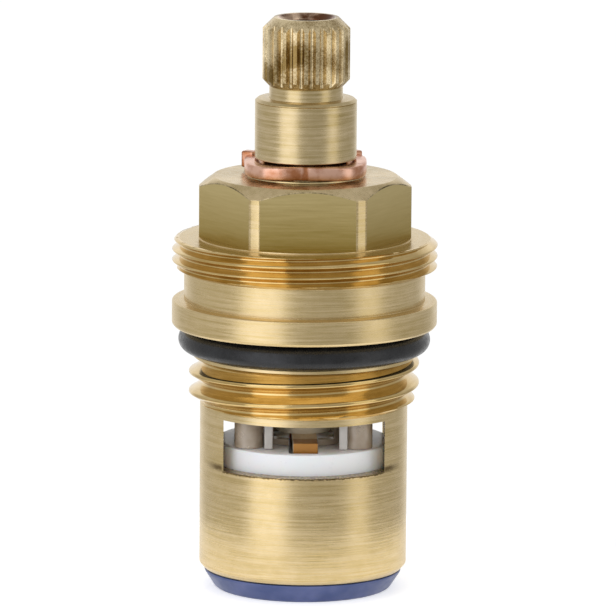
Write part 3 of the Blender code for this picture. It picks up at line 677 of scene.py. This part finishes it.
ring_grooves = []
for groove_top, groove_foot in RING_GROOVE_LEVELS:
    ring_grooves += [
        (COLLAR, groove_top), (RING_GROOVE, groove_top), (RING_GROOVE, groove_foot), (COLLAR, groove_foot),
    ]
shaft = turned(
    [
        (0, HOLE_POINT), (SCREW_HOLE, HOLE_FOOT), (SCREW_HOLE, SPINDLE_TOP - 0.5), (SCREW_HOLE + 0.5, SPINDLE_TOP),
        (2.95, SPINDLE_TOP), (SPLINE, SPINDLE_TOP - 1), (SPLINE, SPLINE_FOOT), (NECK, NECK_TOP), (NECK, COLLAR_TOP),
        (COLLAR - 0.25, COLLAR_TOP), (COLLAR, COLLAR_TOP - 0.23), (COLLAR, FINE_LINE + 0.04),
        (COLLAR - 0.085, FINE_LINE), (COLLAR, FINE_LINE - 0.04), (COLLAR, COLLAR_FOOT), (CLIP_GROOVE, COLLAR_FOOT),
        (CLIP_GROOVE, BOSS_TOP - 0.25), (COLLAR, BOSS_TOP - 0.25), *ring_grooves, (COLLAR, RIM_TOP), (RIM, RIM_TOP),
        (RIM, RIM_FOOT), (CORE, RIM_FOOT), (CORE, CORE_FOOT + 0.35), (CORE - 0.3, CORE_FOOT), (FOOT, CORE_FOOT),
        (FOOT, FOOT_LEVEL), (0, FOOT_LEVEL),
    ],
    closed=False,
)
tang = block((-TANG_HALF, -TANG_REACH, TANG_LEVEL), (TANG_HALF, TANG_REACH, FOOT_LEVEL), TANG_TURN)
notch = ring_sector(NOTCH_INNER, NOTCH_OUTER, NOTCH_START, NOTCH_END, RIM_FOOT - 1, RIM_TOP + 0.5, 48)
grooves = spline_grooves(NECK_TOP - 0.58, SPINDLE_TOP + 0.92)
shaft = carved(shaft, ("UNION", tang), ("DIFFERENCE", notch), ("DIFFERENCE", grooves))

spindle_brass = turned_metal(
    "spindle_brass", dark=(0.48, 0.36, 0.15), light=(0.76, 0.61, 0.37), roughness=0.24, line_depth=0.6,
)
spline_brass = faced_metal(
    "rolled_spline", dark=(0.3, 0.2, 0.07), light=(0.88, 0.72, 0.44), roughness=0.27,
    grain=4600.0, pitted=0.9, span=0.14,
)
# The tang's brass is painted a dark, deep orange as shade inside the barrel, with painted light laid over its
# middle.
tang_painted_brass = painted_light_middle(faced_metal(
    "tang_painted_shade_and_light", dark=(0.4, 0.17, 0.03), light=(0.52, 0.25, 0.06), roughness=0.4, metallic=0.4,
))
hole_brass = faced_metal(
    "drilled_hole", dark=(0.14, 0.06, 0.03), light=(0.95, 0.7, 0.5), roughness=0.18,
    grain=700.0, pitted=0.4, span=0.12,
)
# The foot is painted pale, almost white and barely metallic: a painted reflection of the white disc beneath it.
foot_painted_reflection = faced_metal(
    "pale_foot_painted_reflection", dark=(0.92, 0.82, 0.62), light=(0.98, 0.9, 0.72), roughness=0.35, metallic=0.1,
)


def spindle_finish(middle, normal):
    """The screw hole and the spline each have a finish of their own; the foot has a painted reflection, and the
    tang painted shade and light.
    """
    reach = hypot(middle.x, middle.y)
    if middle.z > HOLE_POINT - 0.07 and reach < SCREW_HOLE + 0.6:
        return 3
    if middle.z > NECK_TOP + 0.02:
        return 1
    if middle.z < CORE_FOOT - 0.55:
        return 4 if reach < FOOT + 0.05 and abs(normal.z) < 0.9 else 2
    return 0


piece(
    "turned_spindle", shaft, (spindle_brass, spline_brass, tang_painted_brass, hole_brass, foot_painted_reflection), "spindle",
    "spindle", "spindle", angle=28, choose=spindle_finish,
)


# The retaining clip is a strip of copper-coloured bronze, bent round the spindle's groove and open at the back,
# with its ends turned up as two ears. It holds the spindle down on the body.
CLIP_FOOT, CLIP_TOP = 38.27, 39.48
CLIP_INNER, CLIP_OUTER = 4.02, 5.4
CLIP_START, CLIP_SWEEP = radians(147), radians(256)
CLIP_ROUND = 0.22
CLIP_WIDER = 1.03
CLIP_WAVE = 0.04
CREASE_DEPTH, CREASE_WIDTH = 0.012, 0.05
EARS = (radians(152.5), 5.75), (radians(37.5), 5.55)
EAR_LEVEL = 39.1
EAR_SIZE = 1.25, 1.1, 1.5
EAR_ROUND = 0.18


def bronze():
    """Bright rubbed bronze, with a painted dark reflection on the crease at the front of the strip."""
    made, tree, surface = finish("clip_bronze", 0.24, 1.0)
    cloud = noise(tree, place_of(tree), 600.0, 4.0)
    x, y, _ = along_axes(tree, place_of(tree))
    # A painted dark reflection: a small patch on the crease at the front middle of the strip.
    in_middle = spread(tree, number(tree, "ABSOLUTE", x), 0.1 * MM, 0.35 * MM, 1, 0)
    in_front = spread(tree, y, -4.6 * MM, -4.5 * MM, 1, 0)
    crease = number(tree, "MULTIPLY", in_middle, in_front)
    tone = number(tree, "SUBTRACT", spread(tree, cloud, 0.38, 0.6), crease)
    shaded(tree, surface, spread(tree, tone, 0, 1), dark=(0.5, 0.2, 0.09), light=(0.88, 0.54, 0.4))
    roughened(tree, surface, cloud, 0.3, 0.7, 0.2, 0.34)
    raised(tree, surface, cloud, 0.3, 0.04)
    return made


def clip_band():
    """The strip wound round the groove, a little squared in plan and waved in height, and its two ears."""
    shape = bmesh.new()
    section = (CLIP_INNER, CLIP_FOOT), (CLIP_OUTER, CLIP_FOOT), (CLIP_OUTER, CLIP_TOP), (CLIP_INNER, CLIP_TOP)
    chain = [shape.verts.new((radius * MM, 0, level * MM)) for radius, level in section]
    shape.faces.new(chain)
    bmesh.ops.bevel(
        shape, geom=chain, offset=CLIP_ROUND * MM, offset_type="OFFSET", segments=4, profile=0.5,
        affect="VERTICES", material=-1,
    )
    bmesh.ops.rotate(shape, verts=shape.verts[:], cent=(0, 0, 0), matrix=Matrix.Rotation(CLIP_START, 3, "Z"))
    bmesh.ops.spin(
        shape, geom=shape.faces[:], axis=(0, 0, 1), cent=(0, 0, 0), angle=CLIP_SWEEP, steps=128,
        use_merge=False, use_duplicate=False,
    )
    for v in shape.verts:
        bearing = atan2(v.co.y, v.co.x) + pi / 2
        squared = (abs(cos(bearing)) ** 3 + abs(sin(bearing)) ** 3) ** (-1 / 3)
        on_top = v.co.length > 39.2 * MM
        crease = CREASE_DEPTH * exp(-((bearing / CREASE_WIDTH) ** 2)) if on_top else 0
        reach = squared - crease
        lift = CLIP_WAVE * (1 + cos(4 * bearing))
        v.co = (v.co.x * reach * CLIP_WIDER, v.co.y * reach, v.co.z + lift * MM)
    for bearing, reach in EARS:
        place = Matrix.Rotation(bearing, 4, "Z") @ Matrix.Translation((reach * MM, 0, EAR_LEVEL * MM))
        ear = bmesh.ops.create_cube(shape, size=MM, matrix=place @ Matrix.Diagonal((*EAR_SIZE, 1)))
        edges = list({e for v in ear["verts"] for e in v.link_edges})
        bmesh.ops.bevel(
            shape, geom=edges, offset=EAR_ROUND * MM, offset_type="OFFSET", segments=3, profile=0.5,
            affect="EDGES", material=-1,
        )
    bmesh.ops.recalc_face_normals(shape, faces=shape.faces[:])
    return shape


piece("clip_band", clip_band(), bronze(), "spindle", "retaining_clip", "retaining_clip", angle=50)


# The silencer cage is moulded in clear nylon: a ring with a split sleeve, on round posts and flat ribs, which
# breaks up the water's jet. It stands on the upper disc and turns with it.
CAGE_RING = 8.0
CAGE_TOP, RING_UNDERSIDE, SLEEVE_FOOT = 17.8, 17.0, 13.75
SLEEVE_INNER, SLEEVE_OUTER = 3.5, 4.4
STANDING_MIDDLE, STANDING_HEIGHT = 15.4, 3.3
POST, POST_REACH = 1.3, 6.65
POST_LEAN = radians(48.5)
RIB_PLACES = -3.17, 3.62
RIB_REACH = 5.5
RIB_WIDTH, RIB_DEPTH = 0.76, 1.0
RIB_ROUND = 0.12

# The ring and posts are painted a dark brown-grey: painted shade, with the brass's bounced light, for nylon deep in
# the barrel. The ribs, nearer the window, have a paler copy of the same nylon: painted light.
clear_nylon = nylon(
    "clear_nylon", dark=(0.38, 0.29, 0.2), light=(0.62, 0.52, 0.41), roughness=0.2, Transmission_Weight=0.3,
)
rib_nylon_painted_light = nylon(
    "rib_nylon_painted_light", dark=(0.6, 0.57, 0.53), light=(0.75, 0.72, 0.68), roughness=0.32, Transmission_Weight=0.15,
)


def cage_posts():
    """Four round posts, two in front and two behind."""
    shape = bmesh.new()
    for side in (pi / 2, -pi / 2):
        for lean in (-POST_LEAN, POST_LEAN):
            place = Matrix.Translation((POST_REACH * MM, 0, STANDING_MIDDLE * MM))
            bmesh.ops.create_cone(
                shape, cap_ends=True, segments=48, radius1=POST * MM, radius2=POST * MM,
                depth=STANDING_HEIGHT * MM, matrix=Matrix.Rotation(side + lean, 4, "Z") @ place,
            )
    return shape


def cage_ribs():
    """Four flat ribs, two in front and two behind, between the posts."""
    shape = bmesh.new()
    size = Matrix.Diagonal((RIB_WIDTH, RIB_DEPTH, STANDING_HEIGHT, 1))
    for side in (pi / 2, -pi / 2):
        for across in RIB_PLACES:
            place = Matrix.Translation((across * MM, -RIB_REACH * MM, STANDING_MIDDLE * MM))
            bmesh.ops.create_cube(shape, size=MM, matrix=Matrix.Rotation(side + pi / 2, 4, "Z") @ place @ size)
    bmesh.ops.bevel(
        shape, geom=shape.edges[:], offset=RIB_ROUND * MM, offset_type="OFFSET", segments=3, profile=0.5,
        affect="EDGES", material=-1,
    )
    return shape


cage_ring = turned(
    [
        (CAGE_RING, CAGE_TOP), (CAGE_RING, RING_UNDERSIDE), (SLEEVE_OUTER, RING_UNDERSIDE),
        (SLEEVE_OUTER, SLEEVE_FOOT), (SLEEVE_INNER, SLEEVE_FOOT), (SLEEVE_INNER, CAGE_TOP),
    ],
    corner=0.08,
)
tang_slot = block((-SLOT_HALF, -6.95, 13), (SLOT_HALF, 6.95, 19))
front_opening = block((-2.75, -6.95, 14.3), (2.75, 6.95, 16.9))
side_opening = block((-4.45, -2.6, 13), (4.45, 2.6, 16.85))
cage_ring = carved(cage_ring, *(("DIFFERENCE", opening) for opening in (tang_slot, front_opening, side_opening)))
piece("cage_ring", cage_ring, clear_nylon, "spindle", "silencer_cage", "silencer_cage")
piece("cage_posts", cage_posts(), clear_nylon, "spindle", "silencer_cage", "silencer_cage")
piece("cage_ribs", cage_ribs(), rib_nylon_painted_light, "spindle", "silencer_cage", "silencer_cage")


# The thrust washer, of white nylon, and the spindle's two rubber O-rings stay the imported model's own. They lie
# inside the bonnet, where no view shows them.
for name, look in (
    ("thrust_washer", white_nylon),
    ("spindle_o_ring_upper", black_rubber),
    ("spindle_o_ring_lower", black_rubber),
):
    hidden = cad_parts[name]
    hidden.data.materials.clear()
    hidden.data.materials.append(look)


# The studio has a small round white table, two tall soft lamps in front with a fill between them, and pale walls.
# The table, and the wall behind the object, show as white to the camera and in the metal. Its sizes are in metres.
TABLE_RADIUS = 0.034
TABLE_GLOW = 0.56
LAMP_DISTANCE = 0.9

floor_shape = bmesh.new()
bmesh.ops.create_circle(floor_shape, cap_ends=True, segments=96, radius=TABLE_RADIUS)
floor = bpy.data.objects.new("floor", mesh_of(floor_shape, "floor"))
bpy.context.scene.collection.objects.link(floor)
table, tree, surface = finish("white_table", 0.7)
surface.inputs["Base Color"].default_value = (0.86, 0.86, 0.86, 1)
surface.inputs["Emission Color"].default_value = (1, 1, 1, 1)
rays = node(tree, "LightPath").outputs
seen = number(tree, "MAXIMUM", rays["Is Camera Ray"], rays["Is Glossy Ray"])
seen = number(tree, "MAXIMUM", seen, rays["Is Transmission Ray"])
tree.links.new(number(tree, "MULTIPLY", seen, TABLE_GLOW), surface.inputs["Emission Strength"])
floor.data.materials.append(table)


def soft_lamp(name, bearing, height, width, tall, power, colour=(1, 1, 1)):
    """A soft box at a bearing from the front, facing the object."""
    lamp = bpy.data.lights.new(name, "AREA")
    lamp.color = colour
    lamp.shape = "RECTANGLE"
    lamp.size, lamp.size_y = width, tall
    lamp.energy = power
    made = bpy.data.objects.new(name, lamp)
    bpy.context.scene.collection.objects.link(made)
    place = (LAMP_DISTANCE * sin(bearing), -LAMP_DISTANCE * cos(bearing), height)
    made.matrix_world = (
        Matrix.Translation(place) @ Matrix.Rotation(bearing, 4, "Z") @ Matrix.Rotation(radians(90), 4, "X")
    )
    made.visible_camera = False
    return made


soft_lamp(
    "left_soft_box", radians(-39), height=0.1, width=0.7, tall=3.0, power=6.3, colour=(0.97, 0.99, 1.08),
)
soft_lamp("right_soft_box", radians(64), height=0.1, width=0.42, tall=3.0, power=2.5)
fill = soft_lamp("front_fill", radians(12), height=0.3, width=0.7, tall=0.9, power=1.7)
fill.visible_glossy = False

world = bpy.data.worlds.new("studio")
bpy.context.scene.world = world
world.use_nodes = True
tree = world.node_tree
to_right, to_back, _ = along_axes(tree, node(tree, "TexCoord").outputs["Generated"])
walls = spread(tree, to_back, -0.8, 0.3, 0.5, 0.565)
backdrop = spread(tree, to_back, 0.72, 0.9, 0.0, 0.46)
brightness = number(tree, "MULTIPLY_ADD", to_right, -0.07, number(tree, "ADD", walls, backdrop))
background = tree.nodes["Background"]
background.inputs["Color"].default_value = (1, 1, 1, 1)
tree.links.new(brightness, background.inputs["Strength"])


# The camera looks down at the object by ten degrees from the front, through a long lens, and is turned and
# rolled by less than half a degree, as the photograph's was. Its focal length is given in pixels of the picture.
PICTURE_WIDTH = 616
FOCAL_LENGTH = 7692
SENSOR_WIDTH = 36.0
CAMERA_PLACE = (0, -0.69137, 0.14829)
LOOK_DOWN = radians(10.05)
CAMERA_TURN, CAMERA_ROLL = -0.00047, 0.0077

camera_data = bpy.data.cameras.new("camera")
camera_data.sensor_width = SENSOR_WIDTH
camera_data.lens = SENSOR_WIDTH * FOCAL_LENGTH / PICTURE_WIDTH
camera_data.clip_start, camera_data.clip_end = 0.01, 20
camera = bpy.data.objects.new("camera", camera_data)
bpy.context.scene.collection.objects.link(camera)
camera.matrix_world = (
    Matrix.Translation(CAMERA_PLACE)
    @ Matrix.Rotation(CAMERA_TURN, 4, "Z")
    @ Matrix.Rotation(radians(90) - LOOK_DOWN, 4, "X")
    @ Matrix.Rotation(CAMERA_ROLL, 4, "Z")
)
bpy.context.scene.camera = camera
bpy.context.scene.view_settings.view_transform = "Standard"
